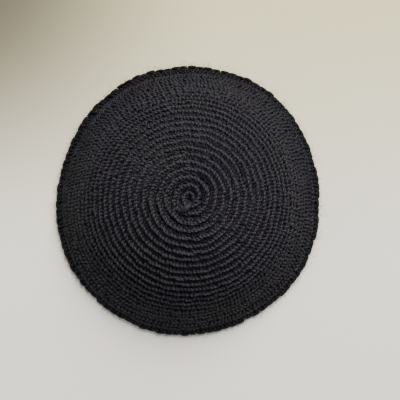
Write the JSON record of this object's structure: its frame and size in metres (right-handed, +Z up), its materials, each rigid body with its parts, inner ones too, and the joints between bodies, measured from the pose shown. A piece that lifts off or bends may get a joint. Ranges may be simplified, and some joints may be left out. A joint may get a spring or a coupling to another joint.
{
  "type": "kippah skullcap",
  "caption": "Round crocheted skullcap, a hollow ribbed dome worked in one spiral, with a scalloped edging round its rim.",
  "frame": {"origin": "under the middle of the rim, on the surface that the cap rests on rim down", "axes": "+Z up through the crown, +Y towards the side where the rim flares most, +X to its right seen from above"},
  "size_m": [0.1674, 0.1706, 0.0596],
  "materials": {
    "crown_yarn": "matt black spun yarn, faintly blue in the light, with fine fuzz",
    "edging_yarn": "the same black yarn, a little browner and duller where the rim is handled"
  },
  "bodies": {
    "root": {"crown": "crown_yarn", "edging": "edging_yarn"}
  },
  "joints": []
}
